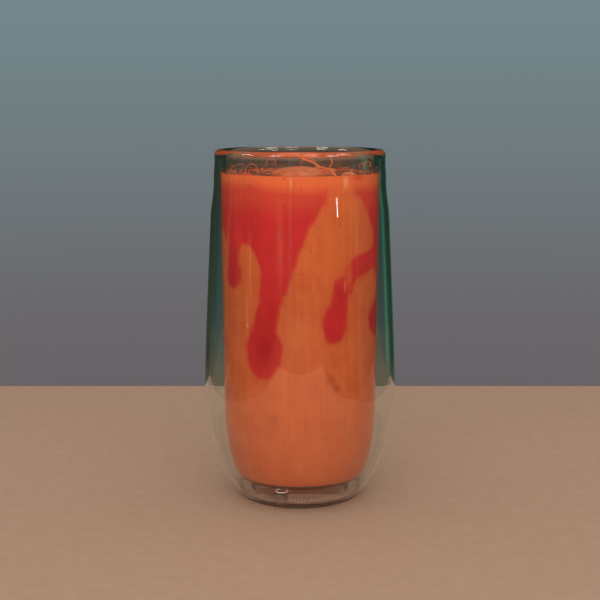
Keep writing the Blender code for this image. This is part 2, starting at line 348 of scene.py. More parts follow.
def glass_outside():
    inner_face = inset(vessel_line(RIM_FOOT), VESSEL_WALL)
    outer_face = outer_wall_line(RIM_FOOT)
    rim = rim_line(outer_face[-1][0], inner_face[-1][0])
    ring = STAND_RADIUS - STAND_WIDTH
    stand = [(STAND_RADIUS - STAND_WIDTH * share, 0.0) for share in (0.25, 0.5, 0.75, 1.0)]
    underside = [(ring - UNDERSIDE_RISE, UNDERSIDE_RISE), (0.0, UNDERSIDE_RISE)]
    return inner_face[:-1] + rim + outer_face[-2::-1] + stand + underside


def still_air():
    """The closed space between the walls."""
    wall_face = inset(outer_wall_line(HOLLOW_TOP), OUTER_WALL)
    floor = UNDERSIDE_RISE + BASE_THICKNESS
    wall_face = [point for point in wall_face if point[1] > floor]
    floor_edge = (wall_face[0][0] - OUTER_WALL / 2.0, floor)
    return vessel_line(HOLLOW_TOP) + wall_face[::-1] + [floor_edge, (0.0, floor)]


def press_ridges(bm):
    """Press the fine ridges that run round the heel into the outside of the base."""
    for vert in bm.verts:
        radius = math.hypot(vert.co.x, vert.co.y)
        fade_in = float(smooth_step(*RIDGE_GROWS, radius))
        fade_out = 1.0 - float(smooth_step(*RIDGE_FADES, radius))
        if vert.co.z > RIDGE_TOP or fade_in * fade_out == 0.0:
            continue
        ridge = 0.5 + 0.5 * math.cos(RIDGES * math.atan2(vert.co.y, vert.co.x))
        vert.co.z += RIDGE_DEPTH * ridge * fade_in * fade_out


glass_mesh = turned(glass_outside(), GLASS_STEPS)
press_ridges(glass_mesh)
air_mesh = turned(still_air(), GLASS_STEPS // 2)
bmesh.ops.reverse_faces(air_mesh, faces=air_mesh.faces)
air_data = as_mesh("still_air", air_mesh)
glass_mesh.from_mesh(air_data)
bpy.data.meshes.remove(air_data)
print("glass has", len(glass_mesh.faces), "faces before the vent is cut")

# %% [markdown]
# Borosilicate glass is clear, with a trace of green that shows only where the eye looks
# along a wall. Fire-polishing leaves it smooth, so its roughness is zero, and its IOR is
# 1.47. The green is a Volume Absorption. Light passes real glass and falls on the drink,
# which a path tracer finds only by chance, so rays of shadow and of diffuse light pass
# straight through. The thick heel bends more of it away, so less passes there.

# %% Borosilicate glass
def let_light_pass(tree, glass, clear):
    """The glass, but clear to rays of shadow and of diffuse light."""
    path = add_node(tree, "LightPath")
    diffuse = add_node(tree, "MixShader", {0: path.outputs["Is Diffuse Ray"], 1: glass, 2: clear})
    return add_node(tree, "MixShader", {0: path.outputs["Is Shadow Ray"], 1: diffuse, 2: clear})


def borosilicate_glass():
    material, tree = new_material("borosilicate glass, blown and fire-polished")
    glass = add_node(tree, "BsdfPrincipled", {
        "Base Color": linear("#FCFFFD"), "Roughness": 0.0, "IOR": 1.47,
        "Transmission Weight": 1.0,
    })
    place = add_node(tree, "TexCoord").outputs["Object"]
    height = add_node(tree, "SeparateXYZ", {0: place}).outputs["Z"]
    above_base = add_node(tree, "MapRange", {
        "Value": height, "From Min": 3.0 * MILLIMETRE, "From Max": 9.0 * MILLIMETRE,
    })
    passed = add_node(tree, "ValToRGB", {"Fac": above_base})
    set_ramp(passed, [(0.0, "#E8D4CA"), (1.0, "#FAFBFA")])
    clear = add_node(tree, "BsdfTransparent", {"Color": passed})
    surface = let_light_pass(tree, glass, clear)
    tint = add_node(tree, "VolumeAbsorption", {"Color": linear("#CBDCD3"), "Density": 24.0})
    add_node(tree, "OutputMaterial", {"Surface": surface, "Volume": tint})
    return material


glass_finish = borosilicate_glass()
print("made", glass_finish.name)

# %% [markdown]
# The air between the walls expands when the drink is hot, so the outer base has a vent,
# closed with a small plug of clear silicone. The hole is cut with a Boolean, as a maker
# would drill it.

# %% Cut the vent
VENT_X = -0.0079
VENT_Y = -0.0146
VENT_RADIUS = 0.0031
# The cutter runs from below the foot up into the still air
CUTTER_LENGTH = 0.0095
CUTTER_MIDDLE = 0.0037


def vent_cutter():
    bm = bmesh.new()
    bmesh.ops.create_cone(
        bm, cap_ends=True, segments=48, radius1=VENT_RADIUS, radius2=VENT_RADIUS, depth=CUTTER_LENGTH
    )
    bmesh.ops.translate(bm, verts=bm.verts, vec=(VENT_X, VENT_Y, CUTTER_MIDDLE))
    return add_object("vent_cutter", as_mesh("vent_cutter", bm))


def cut(piece, cutter):
    """Apply a Boolean difference and remove the cutter."""
    step = piece.modifiers.new("vent", "BOOLEAN")
    step.operation = "DIFFERENCE"
    step.solver = "EXACT"
    step.object = cutter
    evaluated = piece.evaluated_get(bpy.context.evaluated_depsgraph_get())
    result = bpy.data.meshes.new_from_object(evaluated)
    old = piece.data
    piece.modifiers.remove(step)
    piece.data = result
    result.name = piece.name
    bpy.data.meshes.remove(old)
    bpy.data.meshes.remove(cutter.data)


glass = new_piece("double_walled_glass", glass_mesh, glass_finish, "glass")
cut(glass, vent_cutter())
print("cut glass has", len(glass.data.polygons), "faces")

# %% [markdown]
# Pale lines on the ridges are painted highlights: they stand for light that the ridges gather and
# mirror where they touch the table. Each is a thin flat pale bar just inside the glass, over its ridge.

# %% Painted highlights on the ridges
RIDGE_HIGHLIGHT_RADIUS = STAND_RADIUS - 2.9 * MILLIMETRE
RIDGE_HIGHLIGHT_HEIGHT = 0.31 * MILLIMETRE
# Length outwards, width and thickness of a painted highlight bar in millimetres
RIDGE_HIGHLIGHT_SIZE = (5.4, 0.75, 0.06)


def ridge_highlight_mesh():
    bm = bmesh.new()
    for number in range(RIDGES):
        turn = Matrix.Rotation(math.tau * (number + 0.5) / RIDGES, 4, "Z")
        place = turn @ Matrix.Translation((RIDGE_HIGHLIGHT_RADIUS, 0.0, RIDGE_HIGHLIGHT_HEIGHT))
        size = Matrix.Diagonal((*RIDGE_HIGHLIGHT_SIZE, 1000.0)) * MILLIMETRE
        bmesh.ops.create_cube(bm, size=1.0, matrix=place @ size)
    return bm


# Painted highlight: the pale colour of the bars stands for light caught by the ridges
ridge_highlight_finish = mottled_material(
    "painted highlights on the ridges", 2.0, [(0.35, "#CFAE9E"), (0.65, "#F6E0D2")],
    {"Roughness": 0.8, "Specular IOR Level": 0.1},
)
new_piece("painted_ridge_highlights", ridge_highlight_mesh(), ridge_highlight_finish)

# %% [markdown]
# The plug is a short clear cylinder with a rolled lip. The lip is cloudy where it is
# squeezed by the hole, and that is the pale ring seen through the wall. So the lip is a
# second turned piece, with a second silicone.

# %% Vent plug
def silicone(name, colour, roughness, transmission):
    material, tree = new_material(name)
    shader = add_node(tree, "BsdfPrincipled", {
        "Base Color": linear(colour), "Roughness": roughness, "IOR": 1.41,
        "Transmission Weight": transmission,
    })
    add_node(tree, "OutputMaterial", {"Surface": shader})
    return material


PLUG_RADIUS = VENT_RADIUS - 0.3 * MILLIMETRE
PLUG_BOTTOM = UNDERSIDE_RISE + 0.5 * MILLIMETRE
PLUG_TOP = PLUG_BOTTOM + 3.0 * MILLIMETRE
PLUG_BEVEL = 0.4 * MILLIMETRE
LIP_RADIUS = 0.21 * MILLIMETRE


def plug_line():
    top = PLUG_TOP - 2.0 * LIP_RADIUS
    return [
        (0.0, PLUG_BOTTOM), (PLUG_RADIUS - PLUG_BEVEL, PLUG_BOTTOM),
        (PLUG_RADIUS, PLUG_BOTTOM + PLUG_BEVEL), (PLUG_RADIUS, top), (0.0, top),
    ]


def lip_line(steps=12):
    """A small circle, which turns into the rolled lip."""
    points = []
    for step in range(steps + 1):
        angle = math.tau * step / steps
        radius = PLUG_RADIUS - LIP_RADIUS + LIP_RADIUS * math.cos(angle)
        points.append((radius, PLUG_TOP - LIP_RADIUS + LIP_RADIUS * math.sin(angle)))
    return points


def at_vent(bm):
    bmesh.ops.translate(bm, verts=bm.verts, vec=(VENT_X, VENT_Y, 0.0))
    return bm


clear_silicone = silicone("clear moulded silicone", "#EDE9E4", 0.05, 1.0)
cloudy_silicone = silicone("cloudy squeezed silicone", "#FFE9DC", 0.30, 0.0)
plug_mesh = at_vent(turned(plug_line(), 48))
lip_mesh = at_vent(turned(lip_line(), 48))
new_piece("silicone_plug", plug_mesh, clear_silicone, "vent_plug")
new_piece("plug_lip", lip_mesh, cloudy_silicone, "vent_plug")

# %% [markdown]
# ## The sauce and the smoothie
# Strawberry sauce was spooned down the inside of the vessel before the smoothie was poured,
# and it has run into drips with heavy ends. Its edge is one closed Bezier outline on the
# unrolled wall, the same that the solids use. Every point of the drink then knows how far
# it lies inside or outside that edge, and the colours follow from that distance.

# %% Outline of the sauce
def drip(neck, bulb, tip):
    """One run of sauce, from its right side round its tip to its left side."""
    return [
        (neck[0] + neck[1], neck[2]),
        (bulb[0] + bulb[1], bulb[2]),
        tip,
        (bulb[0] - bulb[1], bulb[2]),
        (neck[0] - neck[1], neck[2]),
    ]


# Runs round the back: azimuth and height of the tip of each
BACK_RUNS = [
    (-108.0, 0.0840), (-137.0, 0.0640), (-166.0, 0.0930), (-194.0, 0.0720), (-224.0, 0.0870),
    (-251.0, 0.0990),
]
BULB_RISE = 0.0100
BULB_HALF_WIDTH = 9.5
NECK_HALF_WIDTH = 7.0
VALLEY_STEP = 14.0
VALLEY_HEIGHT = 0.1130


def sauce_outline(top):
    """The edge of the sauce as azimuths in degrees and heights, from its front end leftwards."""
    outline = [(24.0, top), (19.4, 0.1317), (11.0, 0.1245), (3.3, 0.1160), (-2.5, 0.1065)]
    outline += [(-7.5, 0.0970), (-13.5, 0.0890)]
    outline += drip((-26.2, 9.6, 0.0805), (-28.2, 15.2, 0.0690), (-28.5, 0.0567))
    outline += [(-32.5, 0.0890), (-30.0, 0.0985), (-32.5, 0.1070), (-44.5, 0.1130)]
    outline += drip((-58.0, 7.4, 0.1060), (-58.3, 9.6, 0.0985), (-58.3, 0.0936))
    outline += [(-68.5, 0.1125), (-78.0, 0.1180)]
    for azimuth, tip_height in BACK_RUNS:
        bulb_height = tip_height + BULB_RISE
        neck = (azimuth, NECK_HALF_WIDTH, (bulb_height + VALLEY_HEIGHT) / 2.0)
        outline += drip(neck, (azimuth, BULB_HALF_WIDTH, bulb_height), (azimuth, tip_height))
        outline.append((azimuth - VALLEY_STEP, VALLEY_HEIGHT))
    outline += drip((-279.0, 5.0, 0.0905), (-281.0, 18.0, 0.0800), (-280.0, 0.0720))
    outline += [(-288.5, 0.1010), (-301.8, 0.1005), (-312.4, 0.0986), (-318.8, 0.0940)]
    outline += drip((-329.8, 7.3, 0.0895), (-333.8, 9.9, 0.0805), (-333.5, 0.0722))
    outline += [(-335.5, 0.0955), (-333.0, 0.0995), (-326.5, 0.1010), (-323.0, 0.1040)]
    outline += [(-318.0, 0.1075), (-309.9, 0.1088), (-298.0, 0.1100), (-292.5, 0.1125)]
    outline += [(-293.0, 0.1160), (-298.5, 0.1215), (-304.0, 0.1260), (-310.2, 0.1310)]
    return outline + [(-317.0, 0.1340), (-320.5, top)]


UNROLL_RADIUS = inner_radius(DRINK_LEVEL / 2.0)
PER_DEGREE = math.radians(1.0) * UNROLL_RADIUS


def outline_points(top):
    """The outline's smooth curve as an array of points on the unrolled wall."""
    controls = sauce_outline(top)
    curve = bpy.data.curves.new("sauce_edge", "CURVE")
    curve.dimensions = "2D"
    curve.fill_mode = "NONE"
    curve.resolution_u = 6
    spline = curve.splines.new("BEZIER")
    spline.bezier_points.add(len(controls) - 1)
    spline.use_cyclic_u = True
    for point, (azimuth, height) in zip(spline.bezier_points, controls):
        point.co = (azimuth * PER_DEGREE, height, 0.0)
        corner = (azimuth, height) in (controls[0], controls[-1])
        point.handle_left_type = "VECTOR" if corner else "AUTO"
        point.handle_right_type = "VECTOR" if corner else "AUTO"
    edge = add_object("sauce_edge", curve)
    evaluated = edge.evaluated_get(bpy.context.evaluated_depsgraph_get())
    mesh = bpy.data.meshes.new_from_object(evaluated)
    places = numpy.array([vert.co[:2] for vert in mesh.vertices])
    bpy.data.objects.remove(edge)
    bpy.data.curves.remove(curve)
    bpy.data.meshes.remove(mesh)
    return places


sauce_edge = outline_points(DRINK_TOP)
print("the sauce's edge has", len(sauce_edge), "points")

# %% Distance from the sauce's edge
# Places are measured in groups of this many, so that the arrays stay small
GROUP = 2000


def edge_distance(places, edge):
    """Distance of each place from a closed edge, positive inside, and the nearest place on it."""
    start = edge
    along = numpy.roll(edge, -1, axis=0) - edge
    square = numpy.maximum((along ** 2).sum(1), 1e-18)
    distance = numpy.empty(len(places))
    nearest = numpy.empty((len(places), 2))
    for first in range(0, len(places), GROUP):
        part = places[first:first + GROUP, None, :]
        share = numpy.clip(((part - start) * along).sum(2) / square, 0.0, 1.0)
        foot = start + share[..., None] * along
        gap = numpy.hypot(*(part - foot).transpose(2, 0, 1))
        best = gap.argmin(1)
        rows = numpy.arange(len(best))
        straddles = (start[:, 1] > part[..., 1]) != (start[:, 1] + along[:, 1] > part[..., 1])
        slope = numpy.where(along[:, 1] == 0.0, 1e-12, along[:, 1])
        crossing = start[:, 0] + along[:, 0] * (part[..., 1] - start[:, 1]) / slope
        inside = (straddles & (part[..., 0] < crossing)).sum(1) % 2 == 1
        distance[first:first + GROUP] = numpy.where(inside, gap[rows, best], -gap[rows, best])
        nearest[first:first + GROUP] = foot[rows, best]
    return distance, nearest


# Places further than this from the edge's own range count as far outside
FAR = 8.0 * MILLIMETRE


def sauce_depth(azimuths, heights, edge):
    """How far inside the sauce's edge each place on the wall lies, over both turns it spans."""
    deepest = numpy.full(len(azimuths), -FAR)
    for turn in (0.0, -360.0):
        places = numpy.stack([(azimuths + turn) * PER_DEGREE, heights], axis=1)
        near = ((places > edge.min(axis=0) - FAR) & (places < edge.max(axis=0) + FAR)).all(axis=1)
        depth = edge_distance(places[near], edge)[0]
        deepest[near] = numpy.maximum(deepest[near], depth)
    return deepest


# The colours fade out by themselves at the top, so their edge runs on above the froth
colour_edge = outline_points(DRINK_LEVEL + 6.0 * MILLIMETRE)
print("middle of the main drip lies",
      sauce_depth(numpy.array([-32.5]), numpy.array([0.0685]), sauce_edge) / MILLIMETRE, "mm inside")

# %% [markdown]
# The colours need more than the edge. The drips' heavy ends are deeper red, a few pieces of pulp are
# pressed to the wall, and the froth stains the top of the sauce orange. Pale glints and upright streaks
# of reflected light are painted highlights in the drink's colour. Each of these is written on the mesh
# as an attribute that the materials read.

# %% Write the colours' guides on a mesh
# Each soft spot on the wall: azimuth, height, half width in degrees, half height, strength
CORES = [
    (-25.5, 0.0705, 11.0, 0.0085, 0.9), (-20.5, 0.0860, 5.0, 0.0060, 0.5),
    (-58.5, 0.1010, 9.0, 0.0075, 0.5), (26.0, 0.0820, 7.5, 0.0070, 0.2),
    (80.0, 0.0800, 17.0, 0.0080, 0.7), (-137.0, 0.0740, 8.0, 0.0080, 0.8),
    (166.0, 0.0820, 8.0, 0.0080, 0.8), (-108.0, 0.0940, 7.0, 0.0080, 0.8),
]
STAINS = [
    (23.6, 0.0569, 4.4, 0.0024, 0.55), (28.2, 0.0532, 3.6, 0.0022, 0.60),
    (-20.4, 0.0404, 3.5, 0.0016, 0.35), (-55.9, 0.0486, 4.5, 0.0020, 0.40),
    (118.0, 0.0500, 5.0, 0.0018, 0.60), (-150.0, 0.0420, 5.0, 0.0016, 0.60),
    (171.0, 0.0560, 4.0, 0.0014, 0.60),
]
# Painted highlights, not marks of the drink: pale glints and upright streaks of reflected light laid
# into its colour
PAINTED_HIGHLIGHTS = [
    (34.3, 0.1388, 2.4, 0.0026, 0.6), (-6.1, 0.1387, 0.5, 0.0022, 0.6),
    (-38.6, 0.1060, 0.8, 0.0130, 0.20), (-42.6, 0.0850, 0.8, 0.0100, 0.22),
    (-42.0, 0.0792, 0.7, 0.0008, 0.90), (-14.6, 0.1140, 3.0, 0.0190, 0.08),
    (10.1, 0.0968, 0.7, 0.0028, 0.25), (34.4, 0.0963, 0.8, 0.0024, 0.35),
    (129.0, 0.1375, 3.0, 0.0028, 0.7), (-118.0, 0.1382, 2.2, 0.0030, 0.6),
]
CLOTS = [
    (45.3, 0.1403, 6.0, 0.0016, 0.8), (-30.4, 0.1433, 3.0, 0.0014, 0.8),
    (79.0, 0.1416, 5.0, 0.0016, 0.8), (-95.0, 0.1398, 5.0, 0.0016, 0.7),
    (160.0, 0.1402, 6.0, 0.0014, 0.7),
]
# Where the sauce is only a thin smear
SMEARS = [
    (37.8, 0.1000, 3.4, 0.0052, 0.65), (28.5, 0.1010, 5.0, 0.0030, 0.45),
    (-67.0, 0.1130, 4.0, 0.0060, 0.40), (-150.0, 0.1130, 9.0, 0.0040, 0.50),
    (122.0, 0.1140, 8.0, 0.0040, 0.50),
]
SPOTS = {
    "core": CORES, "stain": STAINS, "pale": PAINTED_HIGHLIGHTS, "clot": CLOTS, "thin": SMEARS,
}


def spots(azimuths, heights, listed):
    """The sum of soft round spots on the wall."""
    total = numpy.zeros(len(azimuths))
    for azimuth, height, half_width, half_height, strength in listed:
        across = (azimuths - azimuth + 180.0) % 360.0 - 180.0
        square = (across / half_width) ** 2 + ((heights - height) / half_height) ** 2
        total += strength * numpy.exp(-square * 1.2)
    return numpy.clip(total, 0.0, 1.0)


def places_on_wall(mesh):
    """Azimuth and height of every vertex."""
    flat = numpy.empty(len(mesh.vertices) * 3)
    mesh.vertices.foreach_get("co", flat)
    x, y, z = flat.reshape(-1, 3).T
    return numpy.degrees(numpy.arctan2(x, -y)), z


def write_attribute(mesh, name, values):
    layer = mesh.attributes.new(name, "FLOAT", "POINT")
    layer.data.foreach_set("value", numpy.asarray(values, dtype=numpy.float32))


# Heights in millimetres between which a trace of froth comes in, and then all of it
TRACE_BAND = (123.0, 133.0)
FROTH_BAND = (133.5, 139.5)
# How that edge wanders: height in millimetres, number of waves round the wall, and phase
WANDER = [(0.8, 2.0, 0.7), (0.5, 5.0, 2.0), (0.3, 13.0, 0.0)]


def froth_share(azimuths, heights):
    """How much froth shows at each place: all at the top, and a trace of it far down."""
    turns = numpy.radians(azimuths)
    wander = sum(size * numpy.sin(waves * turns + phase) for size, waves, phase in WANDER)
    trace = (0.16 + 0.11 * numpy.cos(turns)) * smooth_step(*TRACE_BAND, heights / MILLIMETRE)
    full = smooth_step(*FROTH_BAND, heights / MILLIMETRE + wander)
    return trace + (1.0 - trace) * full


def write_guides(piece):
    """Write how deep in the sauce, in each kind of spot and in the froth each vertex lies."""
    azimuths, heights = places_on_wall(piece.data)
    depth = sauce_depth(azimuths, heights, colour_edge) / MILLIMETRE
    write_attribute(piece.data, "sauce_depth", depth)
    write_attribute(piece.data, "froth", froth_share(azimuths, heights))
    for name, listed in SPOTS.items():
        write_attribute(piece.data, name, spots(azimuths, heights, listed))
    print(piece.name, "deepest in the sauce:", round(float(depth.max()), 2), "mm")


# %% [markdown]
# Smoothie and sauce are wet and opaque, so almost all their light is diffuse. Where they lie
# on glass there is no air between, and hardly any gloss. The two mix at their border, so
# one function gives both the same colours: orange mottled by fine pulp, red inside the
# edge, a soft ragged border with a faint red halo outside it, and deeper red in the cores.
# Drink that has run down the wall leaves faint upright streaks. Painted light makes the upper part of
# the drink a little paler, and painted shade makes its lowest part a little darker.

# %% Colours of the drink
# Heights between which painted light makes the drink paler towards the top, and between which painted
# shade darkens it towards the bottom
PAINTED_LIGHT_BAND = (0.085, 0.118)
PAINTED_SHADE_BAND = (0.010, 0.045)


def drink_colour(tree):
    """The node of the colour that the smoothie, the sauce and the side of the froth share."""
    place = add_node(tree, "TexCoord").outputs["Object"]
    guides = {}
    for name in ("sauce_depth", "froth", *SPOTS):
        guides[name] = add_node(tree, "Attribute", attribute_name=name).outputs["Fac"]
    ragged = add_node(tree, "TexNoise", {"Vector": place, "Scale": scale_for(4.0), "Detail": 3.0})
    bent = add_node(tree, "Math", {0: ragged, 1: 2.8, 2: -1.4}, operation="MULTIPLY_ADD")
    edge = add_node(tree, "Math", {0: guides["sauce_depth"], 1: bent}, operation="ADD")
    border = add_node(tree, "MapRange", {
        "Value": edge, "From Min": -1.2, "From Max": 1.3, "To Max": 0.87,
    }, interpolation_type="SMOOTHSTEP")
    halo = add_node(tree, "MapRange", {
        "Value": edge, "From Min": -4.5, "From Max": 0.0, "To Max": 0.13,
    }, interpolation_type="SMOOTHSTEP")
    all_red = add_node(tree, "Math", {0: border, 1: halo}, operation="ADD")
    kept = add_node(tree, "Math", {0: 1.0, 1: guides["thin"]}, operation="SUBTRACT")
    red_share = add_node(tree, "Math", {0: all_red, 1: kept}, operation="MULTIPLY")

    pulp = add_node(tree, "TexNoise", {
        "Vector": place, "Scale": scale_for(9.0), "Detail": 6.0, "Roughness": 0.6,
    })
    orange = add_node(tree, "ValToRGB", {"Fac": pulp})
    set_ramp(orange, [(0.30, "#C0522A"), (0.70, "#CC6135")])
    mixed = add_node(tree, "TexNoise", {"Vector": place, "Scale": scale_for(7.0), "Detail": 4.0})
    red = add_node(tree, "ValToRGB", {"Fac": mixed})
    set_ramp(red, [(0.32, "#B82627"), (0.68, "#C52A2A")])
    deep_red = add_node(tree, "Mix", {
        0: guides["core"], 6: red, 7: linear("#A81C21"),
    }, data_type="RGBA")
    colour = add_node(tree, "Mix", {
        0: red_share, 6: orange, 7: deep_red.outputs[2],
    }, data_type="RGBA").outputs[2]
    # The pale layer is painted highlight: glints and streaks of reflected light
    layers = [("stain", "#8E3018"), ("froth", "#E0643C"), ("pale", "#EDA07A"), ("clot", "#C83C2A")]
    for name, code in layers:
        colour = add_node(tree, "Mix", {0: guides[name], 6: colour, 7: linear(code)},
                          data_type="RGBA").outputs[2]

    stretched = add_node(tree, "Mapping", {
        "Vector": place, "Scale": (scale_for(1.5), scale_for(1.5), scale_for(45.0)),
    })
    streaks = add_node(tree, "TexNoise", {"Vector": stretched, "Scale": 1.0})
    bright = add_node(tree, "MapRange", {
        "Value": streaks, "From Min": 0.3, "From Max": 0.7,
        "To Min": 0.95, "To Max": 1.05,
    })
    height = add_node(tree, "SeparateXYZ", {0: place}).outputs["Z"]
    # Painted light and shade by height: the drink is made paler towards the top and darker towards the
    # bottom
    painted_light_top = add_node(tree, "MapRange", {
        "Value": height, "From Min": PAINTED_LIGHT_BAND[0], "From Max": PAINTED_LIGHT_BAND[1],
        "To Min": 1.0, "To Max": 1.12,
    }, interpolation_type="SMOOTHSTEP")
    painted_shade_bottom = add_node(tree, "MapRange", {
        "Value": height, "From Min": PAINTED_SHADE_BAND[0], "From Max": PAINTED_SHADE_BAND[1],
        "To Min": 0.86, "To Max": 1.0,
    })
    upright = add_node(tree, "Math", {0: painted_light_top, 1: painted_shade_bottom}, operation="MULTIPLY")
    value = add_node(tree, "Math", {0: bright, 1: upright}, operation="MULTIPLY")
    return add_node(tree, "HueSaturation", {"Value": value, "Color": colour})


def blended_fruit(name, roughness):
    material, tree = new_material(name)
    shader = add_node(tree, "BsdfPrincipled", {
        "Base Color": drink_colour(tree), "Roughness": roughness, "IOR": 1.36,
        "Specular IOR Level": 0.1,
    })
    add_node(tree, "OutputMaterial", {"Surface": shader})
    return material


smoothie_finish = blended_fruit("blended orange and strawberry smoothie", 0.55)
sauce_finish = blended_fruit("cooked strawberry sauce", 0.40)
print("made", smoothie_finish.name, "and", sauce_finish.name)

# %% [markdown]
# The body of the smoothie is spun from the vessel's own inner line, moved a little into the
# wall. It has a shallow bed where the sauce lies, pressed in by the same distance.

# %% Body of the smoothie
SAUCE_THICKNESS = 2.5 * MILLIMETRE
DRINK_STEPS = 336
# Only the side of the smoothie is pressed in, which lies further out than this
SIDE_RADIUS = 0.02


def sauce_bed(depth_mm):
    """Thickness of the sauce at a distance inside its edge: thin at the edge, then even."""
    return SAUCE_THICKNESS * smooth_step(0.2, 2.6, depth_mm)


def drink_side(bottom, top, rows):
    """The side of the drink between two heights above the vessel's rounded floor."""
    return [(inner_radius(height) + REACH, height) for height in evenly(bottom, top, rows)]


def smoothie_line():
    bowl = inset(vessel_line(BOWL_TOP + MILLIMETRE, rows=1), VESSEL_WALL - REACH)[:-3]
    return bowl + drink_side(BOWL_TOP, DRINK_TOP, 140) + [(0.0, DRINK_TOP)]


def press_bed(bm):
    """Press the sauce's bed into the side of the smoothie."""
    azimuths = numpy.array([math.degrees(math.atan2(v.co.x, -v.co.y)) for v in bm.verts])
    heights = numpy.array([v.co.z for v in bm.verts])
    radii = numpy.array([math.hypot(v.co.x, v.co.y) for v in bm.verts])
    depth = sauce_depth(azimuths, heights, sauce_edge) / MILLIMETRE
    beds = sauce_bed(depth)
    for vert, radius, bed in zip(bm.verts, radii, beds):
        if bed > 0.0 and radius > SIDE_RADIUS:
            share = (radius - bed) / radius
            vert.co.x *= share
            vert.co.y *= share


body_mesh = turned(smoothie_line(), DRINK_STEPS)
press_bed(body_mesh)
smoothie = new_piece("smoothie_body", body_mesh, smoothie_finish, "smoothie")
write_guides(smoothie)

# %% [markdown]
# The sauce starts as a flat grid on the unrolled wall. The faces outside its edge are
# deleted, the ragged border is moved onto the edge, the sheet is extruded inwards, and
# then it is rolled onto the wall.

# %% Sheet of sauce
SAUCE_CELL = 0.66 * MILLIMETRE
SAUCE_PROUD = 0.05 * MILLIMETRE
SAUCE_EDGE_THICKNESS = 0.12 * MILLIMETRE


def flat_places(verts):
    return numpy.array([(vert.co.x, vert.co.z) for vert in verts])


def flat_sauce():
    """The sauce's sheet on the unrolled wall, X round the wall and Z up."""
    low = sauce_edge.min(axis=0)
    high = sauce_edge.max(axis=0)
    size = high - low
    bm = bmesh.new()
    bmesh.ops.create_grid(
        bm, x_segments=int(size[0] / SAUCE_CELL), y_segments=int(size[1] / SAUCE_CELL), size=0.5
    )
    bmesh.ops.scale(bm, verts=bm.verts, vec=(size[0], size[1], 1.0))
    bmesh.ops.rotate(bm, verts=bm.verts, matrix=Matrix.Rotation(math.radians(90.0), 3, "X"))
    middle = (low + high) / 2.0
    bmesh.ops.translate(bm, verts=bm.verts, vec=(middle[0], 0.0, middle[1]))
    centres = numpy.array([face.calc_center_median().xz for face in bm.faces])
    depth = edge_distance(centres, sauce_edge)[0]
    outside = [face for face, inside in zip(bm.faces[:], depth) if inside < 0.0]
    bmesh.ops.delete(bm, geom=outside, context="FACES")
    border = [vert for vert in bm.verts if vert.is_boundary]
    nearest = edge_distance(flat_places(border), sauce_edge)[1]
    for vert, place in zip(border, nearest):
        vert.co.x = place[0]
        vert.co.z = place[1]
    return bm


def thicken_and_roll(bm):
    """Extrude the flat sheet inwards by the bed's depth, and roll it onto the wall."""
    made = bmesh.ops.extrude_face_region(bm, geom=bm.faces[:], use_keep_orig=True)
    back = [item for item in made["geom"] if isinstance(item, bmesh.types.BMVert)]
    depth = edge_distance(flat_places(back), sauce_edge)[0] / MILLIMETRE
    for vert, bed in zip(back, sauce_bed(depth)):
        vert.co.y = bed + SAUCE_EDGE_THICKNESS
    for vert in bm.verts:
        angle = vert.co.x / UNROLL_RADIUS
        radius = inner_radius(vert.co.z) + REACH + SAUCE_PROUD - vert.co.y
        vert.co = (radius * math.sin(angle), -radius * math.cos(angle), vert.co.z)
    bmesh.ops.recalc_face_normals(bm, faces=bm.faces)
    return bm


sauce_mesh = thicken_and_roll(flat_sauce())
sauce = new_piece("sauce_runs", sauce_mesh, sauce_finish, "strawberry_sauce")
write_guides(sauce)

# %% [markdown]
# Strawberry seeds are pressed flat against the wall. Each one is a small squashed
# icosphere with its flat side to the glass. The larger ones have their own places, and
# seeded random ones are strewn over the rest.

# %% Strawberry seeds
# Azimuth, height and size, where 1 is a seed 1 mm long
SEEDS = [
    (-42.4, 0.1316, 1.2), (-12.7, 0.1338, 0.9), (-11.8, 0.1292, 0.9), (-12.3, 0.1207, 0.8),
    (-11.3, 0.1404, 0.8), (0.9, 0.1359, 1.0), (29.8, 0.1215, 0.8), (7.3, 0.1112, 0.8),
    (-39.3, 0.1372, 0.8), (-65.8, 0.1259, 1.0), (17.3, 0.0927, 0.8), (40.2, 0.0933, 1.3),
    (16.3, 0.0722, 0.9), (36.1, 0.0726, 0.9), (-31.1, 0.0753, 1.0), (-21.4, 0.0660, 1.0),
    (-35.1, 0.0365, 1.0), (20.0, 0.0322, 0.9), (3.6, 0.0383, 0.8), (30.5, 0.0472, 0.8),
]
# Strewn seeds, behind and in front: how many, and the ranges of azimuth and size
STREWN_SEEDS = [(64, (80.0, 285.0), (0.6, 1.2)), (12, (-75.0, 75.0), (0.4, 0.7))]
STREWN_HEIGHTS = (0.044, 0.138)
# Half the thickness, width and length of a seed of size 1, in millimetres
SEED_SHAPE = (0.13, 0.30, 0.50)
draw = random.Random(11)
for count, azimuths, sizes in STREWN_SEEDS:
    for _ in range(count):
        SEEDS.append((draw.uniform(*azimuths), draw.uniform(*STREWN_HEIGHTS), draw.uniform(*sizes)))


def wall_frame(azimuth, radius, height):
    """A matrix whose X points out of the wall at a place, Y along it and Z up."""
    turn = Matrix.Rotation(math.radians(azimuth) - math.pi / 2.0, 4, "Z")
    place = turn @ Vector((radius, 0.0, height))
    return Matrix.Translation(place) @ turn


def seed_mesh():
    bm = bmesh.new()
    for azimuth, height, size in SEEDS:
        frame_here = wall_frame(azimuth, inner_radius(max(height, BOWL_TOP)) + REACH, height)
        lean = Matrix.Rotation(draw.uniform(-0.9, 0.9), 4, "X")
        thickness, width, length = SEED_SHAPE
        shape = Matrix.Diagonal((thickness, width * size, length * size, 1000.0)) * MILLIMETRE
        bmesh.ops.create_icosphere(bm, subdivisions=1, radius=1.0, matrix=frame_here @ lean @ shape)
    return bm


